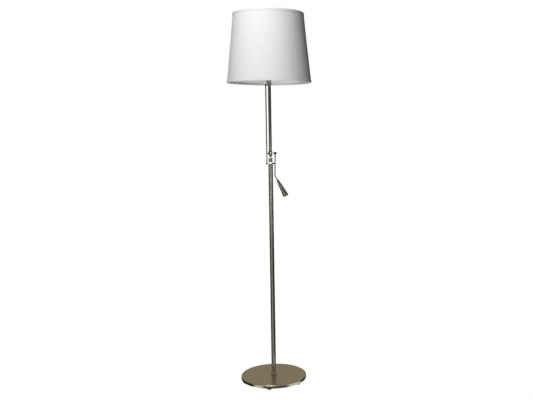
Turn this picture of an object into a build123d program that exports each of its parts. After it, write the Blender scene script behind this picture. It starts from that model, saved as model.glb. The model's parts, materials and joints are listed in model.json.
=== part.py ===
from build123d import *
import os
from math import cos, radians, sin, sqrt

# Floor lamp with a tilting upper arm.  Millimetres, +Z up, +Y towards the back.
# Origin: centre of the round base, on the floor.
#
# The mast carries a hinge (arm pivot).  The arm tilts forward on it, and a thin rod
# beside the arm makes a parallelogram with it, so the shade stays level.

# ---------------------------------------------------------------- base
base_diameter = 280
base_height = 13
cover_sheet = 1.2
cover_rim_radius = 3
weight_gap = 0.3
weight_inset = 1
foot_height = 6
foot_count = 6
foot_diameter = 21
foot_circle_diameter = 255
foot_first_angle = 26
foot_edge_radius = 2
foot_stem_diameter = 8
foot_stem_length = 5
hole_spare = 0.5
stud_diameter = 10
stud_bore = 7
stud_rise = 24
stud_drop = 7
washer_diameter = 30
washer_thickness = 1.5
nut_across_flats = 17
nut_height = 4
recess_diameter = 44
inlet_lift = 0.2
inlet_bore = 5.4
inlet_wall = 0.9
inlet_flange = 1.2
inlet_flange_overlap = 1
inlet_inner_length = 2.6
lead_channel_width = 9

# ---------------------------------------------------------------- mast
mast_diameter = 19
mast_wall = 1.2
mast_length = 911
bush_length = 22
foot_collar_diameter = 26
foot_collar_height = 10
foot_collar_edge = 1.5

# ---------------------------------------------------------------- hinge on the mast
head_spigot_length = 25
head_flange = 1.5
tongue_thickness = 5.5
tongue_half_width = 5.5
rod_pin_rise = 7
rod_pin_forward = 10
rod_pin_nose = 5
shoulder_rise = 12
knuckle_diameter = 16
knuckle_height = 19
knuckle_edge = 3
knuckle_lower_edge = 1
grub_diameter = 3
grub_recess = 0.3
arm_pivot_rise = 49
pin_diameter = 4
spacer_diameter = 6.6
rod_side = 14.6
rod_diameter = 5
rod_ball_diameter = 8.2
ball_flat = 0.5
rod_eye_width = 5.6
rod_eye_radius = 5
rod_seat = 0.3
rod_pin_overrun = 0.4
rod_top_pin_overrun = 0.6
dome_diameter = 8.2
dome_length = 7.4
dome_tip_round = 0.6
dome_heel_round = 0.25
dome_stub_diameter = 4.6
dome_stub_length = 2.2
right_spacer_length = 5.6

# ---------------------------------------------------------------- arm
arm_diameter = 12.7
arm_wall = 1.2
link_length = 327
fork_radius = 8.3
fork_drop = 14
fork_rise = 11
fork_tip_radius = 3.8
fork_collar = 0.6
fork_lower_bulge = 0.89
fork_upper_bulge = 0.965
fork_bulge_place = 0.55
fork_spigot_length = 15
fork_slot_headroom = 0.8
slot_overrun = 1
heel_gap = 0.3
spot_face_depth = 0.9
spot_face_diameter = 8.4
cap_diameter = 7.4
cap_tip_diameter = 3
cap_length = 7.2
cap_bore_depth = 4.5
cap_land = 1
cap_tip_edge = 0.6
thrust_washer = 1.2
thrust_washer_play = 0.4
eye_spigot_length = 14
eye_diameter = 12
eye_width = 10
eye_rim = 2.5
eye_shoulder_gap = 0.5

# ---------------------------------------------------------------- lever
hub_reach = 19.8
hub_top_diameter = 14
hub_bottom_diameter = 6.6
hub_rise = 5
hub_drop = 6
hub_edge = 0.8
hub_top_land = 2
pin_overrun = 3.6
wire_diameter = 4.8
wire_socket = 2.3
wire_lean = 2.5
wire_neck_length = 3
wire_bend_drop = 93
wire_bend_radius = 12
grip_angle = 28
grip_start = 21.5
grip_length = 78
grip_small_diameter = 10.6
grip_large_diameter = 24
grip_socket = 18
grip_end_flat = 15
grip_end_round = 6
grip_end_bulge = 1.1
grip_end_bulge_place = 0.35
grip_lip = 1

# ---------------------------------------------------------------- carrier
sheet = 1.6
arm_side_gap = 0.45
web_front_gap = 0.4
cheek_back = 8.5
web_drop = 10
wing_reach = 12.6
wing_top_drop = 28
wing_cut_x = 6
boss_gap = 1.6
boss_height = 8
boss_diameter = 18
nipple_diameter = 10
nipple_bore = 7
nipple_up = 9
carrier_pin_head = 1.2

# ---------------------------------------------------------------- lampholder
holder_cap_diameter = 36
holder_neck_diameter = 17
holder_cap_height = 20
holder_wall = 2
holder_neck_rise = 4
holder_cone_rise = 10
holder_cone_inside_rise = 10.5
holder_floor_rise = 6
holder_floor_inset = 1
skirt_diameter = 39.6
skirt_height = 40
skirt_edge = 1
socket_bore = 26.8
socket_depth = 22
socket_lip = 6
socket_mouth_flare = 1.2
socket_mouth_gap = 0.3
socket_mouth_depth = 2
thread_sheet = 0.4
insert_thickness = 7
insert_gap = 0.2
contact_diameter = 9
contact_height = 2
ring_diameter = 56
ring_thickness = 4
ring_rise = 10

# ---------------------------------------------------------------- shade
shade_bottom_diameter = 351
shade_top_diameter = 292
shade_height = 285
shade_drop = 34
shade_sheet = 1.2
hem_sheet = 0.4
hem_width = 10
frame_wire = 3.2
ring_edge_gap = 1
fitter_plate = 1.5
fitter_width = 6
fitter_gap = 0.4
spoke_count = 3
spoke_overlap = 3
spoke_first_angle = 30
spoke_flat_reach = 62
spoke_bend_radius = 18

# ---------------------------------------------------------------- fits
fixed_fit = 0.05
weld_cope = 0.01
running_fit = 0.05
side_fit = 0.1
moving_gap = 0.3

# ---------------------------------------------------------------- derived heights
base_top = foot_height + base_height
cover_underside = base_top - cover_sheet
weight_bottom = foot_height + weight_inset
mast_top = base_top + mast_length
rod_pin_z = mast_top + rod_pin_rise
arm_pivot_z = mast_top + arm_pivot_rise
shoulder_z = mast_top + shoulder_rise
carrier_pivot_z = arm_pivot_z + link_length
rod_top_z = rod_pin_z + link_length
shade_bottom_z = carrier_pivot_z - shade_drop
shade_top_z = shade_bottom_z + shade_height
boss_bottom_z = carrier_pivot_z + arm_diameter / 2 + boss_gap
boss_top_z = boss_bottom_z + boss_height
skirt_bottom_z = boss_top_z + holder_cap_height
skirt_top_z = skirt_bottom_z + skirt_height
ring_z = skirt_bottom_z + ring_rise
fitter_z = ring_z + ring_thickness

arm_pivot = (0, arm_pivot_z)
carrier_pivot = (0, carrier_pivot_z)
rod_pin = (-rod_pin_forward, rod_pin_z)
rod_top = (-rod_pin_forward, rod_top_z)
mast_bore = mast_diameter - 2 * mast_wall
arm_bore = arm_diameter - 2 * arm_wall


def turned(outline, mode=Mode.ADD):
    """Revolve an outline of (radius, height) points about the lamp's upright axis."""
    with BuildSketch(Plane.XZ) as section:
        with BuildLine():
            Polyline(*outline, close=True)
        make_face()
    revolve(section.sketch, axis=Axis.Z, mode=mode)


def tube(outer, bore, bottom, top, mode=Mode.ADD):
    """An upright tube on the lamp's axis."""
    with BuildSketch(Plane.XY.offset(bottom)) as section:
        Circle(outer / 2)
        if bore:
            Circle(bore / 2, mode=Mode.SUBTRACT)
    extrude(section.sketch, amount=top - bottom, mode=mode)


def round_bar(diameter, start, end, at, mode=Mode.ADD):
    """A round bar or bore along X, from start to end, at a (y, z) place."""
    with BuildSketch(Plane.YZ.offset(start)) as section:
        with Locations(at):
            Circle(diameter / 2)
    extrude(section.sketch, amount=end - start, mode=mode)


def sleeve_on_pin(outer, start, end, at):
    """A spacer or washer on a pin along X."""
    round_bar(outer, start, end, at)
    round_bar(pin_diameter + 2 * fixed_fit, start, end, at, mode=Mode.SUBTRACT)


def turned_on_pin(outline, at):
    """Revolve an outline of (x, radius) points about a pin along X at (y, z)."""
    origin = (0, at[0], at[1])
    with BuildSketch(Plane(origin=origin, x_dir=(1, 0, 0), z_dir=(0, -1, 0))) as section:
        with BuildLine():
            Polyline(*outline, close=True)
        make_face()
    revolve(section.sketch, axis=Axis(origin, (1, 0, 0)))


def plate_across(outline, start, end, mode=Mode.ADD):
    """A plate in the Y-Z plane, given by its (y, z) outline, from x = start to end."""
    with BuildSketch(Plane.YZ.offset(start)) as section:
        with BuildLine():
            Polyline(*outline, close=True)
        make_face()
    extrude(section.sketch, amount=end - start, mode=mode)


def wire_ring(radius, z, cope=0, mode=Mode.ADD):
    """A closed ring of frame wire."""
    with BuildSketch(Plane.XZ) as section:
        with Locations((radius, z)):
            Circle(frame_wire / 2 + cope)
    revolve(section.sketch, axis=Axis.Z, mode=mode)


def shade_radius(z):
    """Outer radius of the shade's cone at height z."""
    rise = (z - shade_bottom_z) / shade_height
    return (shade_bottom_diameter + (shade_top_diameter - shade_bottom_diameter) * rise) / 2


# ================================================================ base
inlet_z = foot_height + (base_height - cover_rim_radius) / 2 + inlet_lift
inlet_body = inlet_bore + 2 * inlet_wall
inlet_flange_diameter = inlet_body + 2 * inlet_flange_overlap
inlet_back = Plane.XZ.offset(-base_diameter / 2 - inlet_flange)

with BuildPart() as base_cover:
    tube(base_diameter, 0, foot_height, base_top)
    top_edge = base_cover.edges().filter_by(GeomType.CIRCLE).group_by(Axis.Z)[-1]
    fillet(top_edge, radius=cover_rim_radius)
    inner_radius = base_diameter / 2 - cover_sheet
    corner = cover_rim_radius - cover_sheet
    turned(
        [
            (0, foot_height),
            (inner_radius, foot_height),
            (inner_radius, cover_underside - corner),
            (inner_radius - corner, cover_underside),
            (0, cover_underside),
        ],
        mode=Mode.SUBTRACT,
    )
    tube(stud_diameter + 2 * fixed_fit, 0, foot_height, base_top, mode=Mode.SUBTRACT)
    with BuildSketch(Plane.XZ.offset(-base_diameter / 2)):
        with Locations((0, inlet_z)):
            Circle(inlet_body / 2 + fixed_fit)
    extrude(amount=2 * cover_sheet, mode=Mode.SUBTRACT)

with BuildPart() as base_weight:
    weight_radius = base_diameter / 2 - cover_sheet - weight_gap
    slope = cover_rim_radius
    turned(
        [
            (0, weight_bottom),
            (weight_radius, weight_bottom),
            (weight_radius, cover_underside - slope),
            (weight_radius - slope, cover_underside),
            (0, cover_underside),
        ]
    )
    recess_top = weight_bottom + washer_thickness + nut_height + hole_spare
    tube(recess_diameter, 0, weight_bottom, recess_top, mode=Mode.SUBTRACT)
    tube(stud_diameter + 2 * fixed_fit, 0, weight_bottom, cover_underside, mode=Mode.SUBTRACT)
    with BuildSketch(Plane.XY.offset(weight_bottom)):
        with PolarLocations(foot_circle_diameter / 2, foot_count, foot_first_angle):
            Circle(foot_stem_diameter / 2 + fixed_fit)
    extrude(amount=foot_stem_length + hole_spare, mode=Mode.SUBTRACT)
    with BuildSketch(Plane.XY.offset(weight_bottom)):
        with Locations((0, base_diameter / 4)):
            Rectangle(lead_channel_width, base_diameter / 2)
    extrude(amount=inlet_z + inlet_body / 2 + weight_gap - weight_bottom, mode=Mode.SUBTRACT)

with BuildPart() as rubber_feet:
    with BuildSketch(Plane.XY):
        with PolarLocations(foot_circle_diameter / 2, foot_count, foot_first_angle):
            Circle(foot_diameter / 2)
    extrude(amount=weight_bottom)
    floor_edges = rubber_feet.edges().filter_by(GeomType.CIRCLE).group_by(Axis.Z)[0]
    fillet(floor_edges, radius=foot_edge_radius)
    with BuildSketch(Plane.XY.offset(weight_bottom)):
        with PolarLocations(foot_circle_diameter / 2, foot_count, foot_first_angle):
            Circle(foot_stem_diameter / 2)
    extrude(amount=foot_stem_length)

with BuildPart() as cord_inlet:
    with BuildSketch(inlet_back):
        with Locations((0, inlet_z)):
            Circle(inlet_flange_diameter / 2)
    extrude(amount=inlet_flange)
    with BuildSketch(inlet_back):
        with Locations((0, inlet_z)):
            Circle(inlet_body / 2)
    extrude(amount=inlet_flange + inlet_inner_length)
    with BuildSketch(inlet_back):
        with Locations((0, inlet_z)):
            Circle(inlet_bore / 2)
    extrude(amount=inlet_flange + inlet_inner_length, mode=Mode.SUBTRACT)

stud_bottom = cover_underside - stud_drop
with BuildPart() as mast_stud:
    tube(stud_diameter, stud_bore, stud_bottom, base_top + stud_rise)

washer_bottom = recess_top - washer_thickness
with BuildPart() as stud_washer:
    tube(washer_diameter, stud_diameter + 2 * fixed_fit, washer_bottom, recess_top)

with BuildPart() as stud_nut:
    with BuildSketch(Plane.XY.offset(washer_bottom - nut_height)):
        RegularPolygon(nut_across_flats / 2, 6, major_radius=False)
        Circle(stud_diameter / 2 + fixed_fit, mode=Mode.SUBTRACT)
    extrude(amount=nut_height)

# ================================================================ mast
with BuildPart() as mast_foot_collar:
    tube(foot_collar_diameter, mast_diameter + 2 * fixed_fit, base_top, base_top + foot_collar_height)
    rim = mast_foot_collar.edges().group_by(Axis.Z)[-1].sort_by(SortBy.RADIUS)[-1]
    fillet(rim, radius=foot_collar_edge)

with BuildPart() as mast_bush:
    bush_diameter = mast_bore - 2 * fixed_fit
    tube(bush_diameter, stud_diameter + 2 * fixed_fit, base_top, base_top + bush_length)

with BuildPart() as mast_tube:
    tube(mast_diameter, mast_bore, base_top, mast_top)

with BuildPart() as mast_head:
    tube(mast_bore - 2 * fixed_fit, 0, mast_top - head_spigot_length, mast_top)
    tube(mast_diameter, 0, mast_top, mast_top + head_flange)
    half = tongue_thickness / 2
    block = [
        (-rod_pin_forward, mast_top),
        (tongue_half_width, mast_top),
        (tongue_half_width, shoulder_z),
        (-rod_pin_forward, shoulder_z),
    ]
    blade = [
        (-tongue_half_width, mast_top),
        (tongue_half_width, mast_top),
        (tongue_half_width, arm_pivot_z),
        (-tongue_half_width, arm_pivot_z),
    ]
    plate_across(block, -half, half)
    plate_across(blade, -half, half)
    round_bar(2 * rod_pin_nose, -half, half, rod_pin)
    round_bar(2 * tongue_half_width, -half, half, arm_pivot)
    round_bar(pin_diameter + 2 * fixed_fit, -half, half, rod_pin, mode=Mode.SUBTRACT)
    round_bar(pin_diameter + 2 * running_fit, -half, half, arm_pivot, mode=Mode.SUBTRACT)

knuckle_top_z = shoulder_z + knuckle_height
grub_z = shoulder_z + knuckle_height / 2
with BuildPart() as knuckle_collar:
    tube(knuckle_diameter, 0, shoulder_z, knuckle_top_z)
    fillet(knuckle_collar.edges().group_by(Axis.Z)[-1], radius=knuckle_edge)
    fillet(knuckle_collar.edges().group_by(Axis.Z)[0], radius=knuckle_lower_edge)
    with BuildSketch(Plane.XY.offset(shoulder_z)):
        Rectangle(tongue_thickness + 2 * fixed_fit, 2 * tongue_half_width + 2 * fixed_fit)
    extrude(amount=knuckle_height, mode=Mode.SUBTRACT)
    with BuildSketch(Plane.XZ):
        with Locations((0, grub_z)):
            Circle(grub_diameter / 2 + fixed_fit)
    extrude(amount=-knuckle_diameter, mode=Mode.SUBTRACT)

with BuildPart() as knuckle_screw:
    with BuildSketch(Plane.XZ.offset(-tongue_half_width)):
        with Locations((0, grub_z)):
            Circle(grub_diameter / 2)
    extrude(amount=-(knuckle_diameter / 2 - tongue_half_width) + grub_recess)

# ---------------------------------------------------------------- pin that holds the rod
tongue_face = tongue_thickness / 2
ball_inner = rod_side - rod_ball_diameter / 2
rod_pin_left = -(rod_side + rod_ball_diameter / 2 + rod_pin_overrun)
left_spacer_end = ball_inner - moving_gap
right_spacer_end = tongue_face + right_spacer_length
dome_end = right_spacer_end + dome_length

with BuildPart() as rod_pin_shaft:
    round_bar(pin_diameter, rod_pin_left, right_spacer_end + dome_length / 2, rod_pin)

with BuildPart() as rod_pin_spacers:
    sleeve_on_pin(spacer_diameter, -left_spacer_end, -tongue_face, rod_pin)
    sleeve_on_pin(spacer_diameter, tongue_face, right_spacer_end, rod_pin)

with BuildPart() as rod_pin_dome:
    dome_radius = dome_diameter / 2
    round_bar(dome_diameter, right_spacer_end, dome_end, rod_pin)
    dome_edges = rod_pin_dome.edges().filter_by(GeomType.CIRCLE)
    fillet(dome_edges.sort_by(Axis.X)[-1], radius=dome_radius * dome_tip_round)
    dome_edges = rod_pin_dome.edges().filter_by(GeomType.CIRCLE)
    fillet(dome_edges.sort_by(Axis.X)[0], radius=dome_radius * dome_heel_round)
    round_bar(dome_stub_diameter, dome_end, dome_end + dome_stub_length, rod_pin)
    bore_end = right_spacer_end + dome_length / 2
    bore = pin_diameter + 2 * fixed_fit
    round_bar(bore, right_spacer_end, bore_end, rod_pin, mode=Mode.SUBTRACT)

# ================================================================ arm
fork_bottom_z = arm_pivot_z - fork_drop
fork_top_z = arm_pivot_z + fork_rise
fork_seat = fork_radius - spot_face_depth

with BuildPart() as arm_fork:
    with BuildSketch(Plane.XZ):
        with BuildLine():
            tip = (fork_tip_radius, fork_bottom_z)
            waist = (fork_radius, arm_pivot_z)
            neck = (arm_diameter / 2 + fork_collar, fork_top_z)
            lower_mid = (fork_radius * fork_lower_bulge, arm_pivot_z - fork_drop * fork_bulge_place)
            upper_mid = (fork_radius * fork_upper_bulge, arm_pivot_z + fork_rise * fork_bulge_place)
            Line((0, fork_bottom_z), tip)
            ThreePointArc(tip, lower_mid, waist)
            ThreePointArc(waist, upper_mid, neck)
            Line(neck, (0, fork_top_z))
            Line((0, fork_top_z), (0, fork_bottom_z))
        make_face()
    revolve(axis=Axis.Z)
    tube(arm_bore - 2 * fixed_fit, 0, fork_top_z, fork_top_z + fork_spigot_length)
    slot_half = tongue_thickness / 2 + side_fit
    slot_back = tongue_half_width + heel_gap
    slot_top = arm_pivot_z + tongue_half_width + fork_slot_headroom
    slot = [
        (-2 * fork_radius, fork_bottom_z - slot_overrun),
        (slot_back, fork_bottom_z - slot_overrun),
        (slot_back, slot_top),
        (-2 * fork_radius, slot_top),
    ]
    plate_across(slot, -slot_half, slot_half, mode=Mode.SUBTRACT)
    bore = pin_diameter + 2 * fixed_fit
    round_bar(bore, -fork_radius, fork_radius, arm_pivot, mode=Mode.SUBTRACT)
    round_bar(spot_face_diameter, fork_seat, 2 * fork_radius, arm_pivot, mode=Mode.SUBTRACT)
    round_bar(spot_face_diameter, -2 * fork_radius, -fork_seat, arm_pivot, mode=Mode.SUBTRACT)

eye_shoulder_z = carrier_pivot_z - eye_diameter / 2 - eye_shoulder_gap
with BuildPart() as arm_tube:
    tube(arm_diameter, arm_bore, fork_top_z, eye_shoulder_z)

with BuildPart() as arm_top_eye:
    tube(arm_bore - 2 * fixed_fit, 0, eye_shoulder_z - eye_spigot_length, eye_shoulder_z)
    tube(arm_diameter, 0, eye_shoulder_z, eye_shoulder_z + eye_rim)
    round_bar(eye_diameter, -eye_width / 2, eye_width / 2, carrier_pivot)
    bore = pin_diameter + 2 * running_fit
    round_bar(bore, -eye_width, eye_width, carrier_pivot, mode=Mode.SUBTRACT)

pin_right = hub_reach + pin_overrun
with BuildPart() as arm_pin:
    round_bar(pin_diameter, -fork_seat - cap_bore_depth, pin_right, arm_pivot)

with BuildPart() as arm_pin_cap:
    turned_on_pin(
        [
            (-fork_seat, 0),
            (-fork_seat, cap_diameter / 2),
            (-fork_seat - cap_land, cap_diameter / 2),
            (-fork_seat - cap_length + cap_tip_edge, cap_tip_diameter / 2),
            (-fork_seat - cap_length, cap_tip_diameter / 2 - cap_tip_edge),
            (-fork_seat - cap_length, 0),
        ],
        arm_pivot,
    )
    bore = pin_diameter + 2 * fixed_fit
    round_bar(bore, -fork_seat - cap_bore_depth, -fork_seat, arm_pivot, mode=Mode.SUBTRACT)

with BuildPart() as arm_pin_washer:
    sleeve_on_pin(spot_face_diameter - thrust_washer_play, fork_seat, fork_seat + thrust_washer, arm_pivot)

# ---------------------------------------------------------------- lever
hub_bottom_z = arm_pivot_z - hub_drop
hub_top_z = arm_pivot_z + hub_rise
wire_top_z = hub_bottom_z + wire_socket
bend = (hub_reach - wire_lean, 0, arm_pivot_z - wire_bend_drop)
grip_across = (cos(radians(grip_angle)), 0, sin(radians(grip_angle)))
grip_along = (sin(radians(grip_angle)), 0, -cos(radians(grip_angle)))
wire_start = (hub_reach, 0, wire_top_z)
wire_neck = (hub_reach, 0, hub_bottom_z - wire_neck_length)
wire_end = grip_start + grip_socket
wire_tip = (bend[0] + wire_end * grip_along[0], 0, bend[2] + wire_end * grip_along[2])
hub_plane = Plane(origin=(hub_reach, 0, hub_bottom_z), x_dir=(1, 0, 0), z_dir=(0, -1, 0))
hub_axis = Axis((hub_reach, 0, hub_bottom_z), (0, 0, 1))

with BuildPart() as lever_hub:
    hub_height = hub_rise + hub_drop
    top_radius = hub_top_diameter / 2
    with BuildSketch(hub_plane):
        with BuildLine():
            Polyline(
                (0, 0),
                (hub_bottom_diameter / 2, 0),
                (top_radius, hub_height - hub_top_land),
                (top_radius, hub_height - hub_edge),
                (top_radius - hub_edge, hub_height),
                (0, hub_height),
                close=True,
            )
        make_face()
    revolve(axis=hub_axis)
    bore = pin_diameter + 2 * fixed_fit
    round_bar(bore, 0, pin_right, arm_pivot, mode=Mode.SUBTRACT)
    with BuildSketch(Plane.XY.offset(hub_bottom_z)):
        with Locations((hub_reach, 0)):
            Circle(wire_diameter / 2 + fixed_fit)
    extrude(amount=wire_socket, mode=Mode.SUBTRACT)

with BuildPart() as lever_wire:
    with BuildLine() as wire_path:
        FilletPolyline(wire_start, wire_neck, bend, wire_tip, radius=wire_bend_radius)
    with BuildSketch(Plane(origin=wire_start, z_dir=(0, 0, -1))):
        Circle(wire_diameter / 2)
    sweep()

grip_plane = Plane(origin=bend, x_dir=grip_across, z_dir=(0, 1, 0))
with BuildPart() as lever_grip:
    small_radius = grip_small_diameter / 2
    large_radius = grip_large_diameter / 2
    socket_radius = wire_diameter / 2 + fixed_fit
    grip_end = grip_start + grip_length
    with BuildSketch(grip_plane):
        with BuildLine():
            Line((0, grip_start + grip_socket), (socket_radius, grip_start + grip_socket))
            Line((socket_radius, grip_start + grip_socket), (socket_radius, grip_start))
            Line((socket_radius, grip_start), (small_radius - grip_lip, grip_start))
            Line((small_radius - grip_lip, grip_start), (small_radius, grip_start + grip_lip))
            Line((small_radius, grip_start + grip_lip), (large_radius, grip_end - grip_end_round))
            ThreePointArc(
                (large_radius, grip_end - grip_end_round),
                (large_radius - grip_end_bulge, grip_end - grip_end_round * grip_end_bulge_place),
                (grip_end_flat / 2, grip_end),
            )
            Line((grip_end_flat / 2, grip_end), (0, grip_end))
            Line((0, grip_end), (0, grip_start + grip_socket))
        make_face()
    revolve(axis=Axis(bend, grip_along))

# ================================================================ parallel rod
rod_bottom_z = rod_pin_z + rod_ball_diameter * rod_seat
rod_plane = Plane.XY.offset(rod_bottom_z)
with BuildPart() as parallel_rod:
    with BuildSketch(rod_plane):
        with Locations((-rod_side, -rod_pin_forward)):
            Circle(rod_diameter / 2)
    extrude(amount=rod_top_z - rod_eye_radius - rod_bottom_z)
    ball_centre = (-rod_side, -rod_pin_forward, rod_pin_z)
    with Locations(ball_centre):
        Sphere(rod_ball_diameter / 2 + fixed_fit, mode=Mode.SUBTRACT)

with BuildPart() as rod_lower_ball:
    bore_radius = pin_diameter / 2 + running_fit
    ball_radius = rod_ball_diameter / 2
    flat = sqrt(ball_radius**2 - (bore_radius + ball_flat) ** 2)
    ball_plane = Plane(origin=ball_centre, x_dir=(1, 0, 0), z_dir=(0, -1, 0))
    with BuildSketch(ball_plane):
        with BuildLine():
            left = (-flat, bore_radius + ball_flat)
            right = (flat, bore_radius + ball_flat)
            ThreePointArc(left, (0, ball_radius), right)
            Polyline(right, (flat, bore_radius), (-flat, bore_radius), left)
        make_face()
    revolve(axis=Axis(ball_centre, (1, 0, 0)))

eye_left = -rod_side - rod_eye_width / 2
eye_right = -rod_side + rod_eye_width / 2
with BuildPart() as rod_upper_eye:
    round_bar(2 * rod_eye_radius, eye_left, eye_right, rod_top)
    with BuildSketch(Plane.XY.offset(rod_top_z - rod_eye_radius)):
        with Locations((-rod_side, -rod_pin_forward)):
            Circle(rod_diameter / 2)
    extrude(amount=rod_eye_radius)
    bore = pin_diameter + 2 * running_fit
    round_bar(bore, -2 * rod_side, 0, rod_top, mode=Mode.SUBTRACT)

# ================================================================ carrier
cheek_inner = arm_diameter / 2 + arm_side_gap
cheek_outer = cheek_inner + sheet
web_back = -(arm_diameter / 2 + web_front_gap)
web_front = web_back - sheet
web_bottom_z = shade_bottom_z - web_drop
wing_z = carrier_pivot_z - wing_top_drop

with BuildPart() as carrier_bracket:
    cheek = [
        (web_front, web_bottom_z),
        (web_back, web_bottom_z),
        (cheek_back, carrier_pivot_z - cheek_back),
        (cheek_back, boss_top_z),
        (web_front, boss_top_z),
    ]
    plate_across(cheek, cheek_inner, cheek_outer)
    plate_across(cheek, -cheek_outer, -cheek_inner)
    lug = [
        (rod_top[0], rod_top_z - rod_eye_radius),
        (web_back, rod_top_z - rod_eye_radius),
        (web_back, rod_top_z + rod_eye_radius),
        (rod_top[0], rod_top_z + rod_eye_radius),
    ]
    plate_across(lug, -cheek_outer, -cheek_inner)
    round_bar(2 * rod_eye_radius, -cheek_outer, -cheek_inner, rod_top)
    with BuildSketch(Plane.XZ.offset(-web_back)):
        with BuildLine():
            Polyline(
                (cheek_outer, web_bottom_z),
                (cheek_outer, boss_top_z),
                (-wing_reach, boss_top_z),
                (-wing_reach, wing_z),
                (-wing_cut_x, web_bottom_z),
                close=True,
            )
        make_face()
    extrude(amount=sheet)
    with BuildSketch(Plane.XY.offset(boss_bottom_z)):
        with Locations(((-wing_reach + cheek_outer) / 2, (web_front + cheek_back) / 2)):
            Rectangle(wing_reach + cheek_outer, cheek_back - web_front)
        Circle(boss_diameter / 2)
    extrude(amount=boss_height)
    tube(nipple_diameter + 2 * fixed_fit, 0, boss_bottom_z, boss_top_z, mode=Mode.SUBTRACT)
    bore = pin_diameter + 2 * fixed_fit
    round_bar(bore, -2 * cheek_outer, 2 * cheek_outer, carrier_pivot, mode=Mode.SUBTRACT)
    round_bar(bore, -2 * cheek_outer, 0, rod_top, mode=Mode.SUBTRACT)

with BuildPart() as carrier_pin:
    round_bar(pin_diameter, -cheek_outer, cheek_outer, carrier_pivot)
    round_bar(spacer_diameter, cheek_outer, cheek_outer + carrier_pin_head, carrier_pivot)
    round_bar(spacer_diameter, -cheek_outer - carrier_pin_head, -cheek_outer, carrier_pivot)

with BuildPart() as rod_top_pin:
    round_bar(pin_diameter, eye_left - rod_top_pin_overrun, -cheek_inner, rod_top)

with BuildPart() as rod_top_spacer:
    sleeve_on_pin(spacer_diameter, eye_right + moving_gap, -cheek_outer, rod_top)

with BuildPart() as holder_nipple:
    tube(nipple_diameter, nipple_bore, boss_bottom_z, boss_top_z + nipple_up)

# ================================================================ lampholder
cap_radius = holder_cap_diameter / 2
neck_radius = holder_neck_diameter / 2
nipple_hole = nipple_diameter / 2 + fixed_fit

with BuildPart() as holder_cap:
    turned(
        [
            (nipple_hole, boss_top_z),
            (neck_radius, boss_top_z),
            (neck_radius, boss_top_z + holder_neck_rise),
            (cap_radius, boss_top_z + holder_cone_rise),
            (cap_radius, skirt_bottom_z),
            (cap_radius - holder_wall, skirt_bottom_z),
            (cap_radius - holder_wall, boss_top_z + holder_cone_inside_rise),
            (neck_radius - holder_floor_inset, boss_top_z + holder_floor_rise),
            (nipple_hole, boss_top_z + holder_floor_rise),
        ]
    )

shell_outer = socket_bore / 2 + thread_sheet
shell_top_z = skirt_top_z - socket_lip
shell_bottom_z = shell_top_z - socket_depth
socket_bottom_z = shell_bottom_z - contact_height
skirt_hollow = shell_outer + insert_gap

with BuildPart() as holder_skirt:
    turned(
        [
            (skirt_hollow, skirt_bottom_z),
            (skirt_diameter / 2, skirt_bottom_z),
            (skirt_diameter / 2, skirt_top_z - skirt_edge),
            (skirt_diameter / 2 - skirt_edge, skirt_top_z),
            (socket_bore / 2 + socket_mouth_flare, skirt_top_z),
            (socket_bore / 2 + socket_mouth_gap, skirt_top_z - socket_mouth_depth),
            (socket_bore / 2 + socket_mouth_gap, shell_top_z),
            (skirt_hollow, shell_top_z),
        ]
    )

with BuildPart() as socket_insert:
    tube(2 * shell_outer, 0, socket_bottom_z - insert_thickness, socket_bottom_z)

with BuildPart() as socket_contact:
    tube(contact_diameter, 0, socket_bottom_z, socket_bottom_z + contact_height)

with BuildPart() as socket_shell:
    tube(2 * shell_outer, socket_bore, shell_bottom_z, shell_top_z)

ring_bore = skirt_diameter + 2 * fixed_fit
fitter_top_z = fitter_z + fitter_plate
with BuildPart() as shade_ring_lower:
    tube(ring_diameter, ring_bore, ring_z, fitter_z)
with BuildPart() as shade_ring_upper:
    tube(ring_diameter, ring_bore, fitter_top_z, fitter_top_z + ring_thickness)

# ================================================================ shade
wire_radius = frame_wire / 2
ring_inset = shade_sheet + wire_radius + fixed_fit
bottom_ring_z = shade_bottom_z + wire_radius + ring_edge_gap
top_ring_z = shade_top_z - wire_radius - ring_edge_gap
bottom_ring_radius = shade_radius(bottom_ring_z + wire_radius) - ring_inset
top_ring_radius = shade_radius(top_ring_z + wire_radius) - ring_inset
fitter_bore = skirt_diameter + 2 * fitter_gap
fitter_outer = ring_diameter + 2 * fitter_width
spoke_start = fitter_outer / 2 - spoke_overlap
spoke_z = fitter_z + fitter_plate / 2
spoke_end = bottom_ring_radius - wire_radius

with BuildPart() as shade_cover:
    turned(
        [
            (shade_radius(shade_bottom_z), shade_bottom_z),
            (shade_radius(shade_top_z), shade_top_z),
            (shade_radius(shade_top_z) - shade_sheet, shade_top_z),
            (shade_radius(shade_bottom_z) - shade_sheet, shade_bottom_z),
        ]
    )


def hem(low, high):
    """A flat band of cloth tape laid on the outside of the shade."""
    turned(
        [
            (shade_radius(low), low),
            (shade_radius(low) + hem_sheet, low),
            (shade_radius(high) + hem_sheet, high),
            (shade_radius(high), high),
        ]
    )


with BuildPart() as shade_hem_bottom:
    hem(shade_bottom_z, shade_bottom_z + hem_width)
with BuildPart() as shade_hem_top:
    hem(shade_top_z - hem_width, shade_top_z)

with BuildPart() as shade_bottom_ring:
    wire_ring(bottom_ring_radius, bottom_ring_z)
with BuildPart() as shade_top_ring:
    wire_ring(top_ring_radius, top_ring_z)

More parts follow.
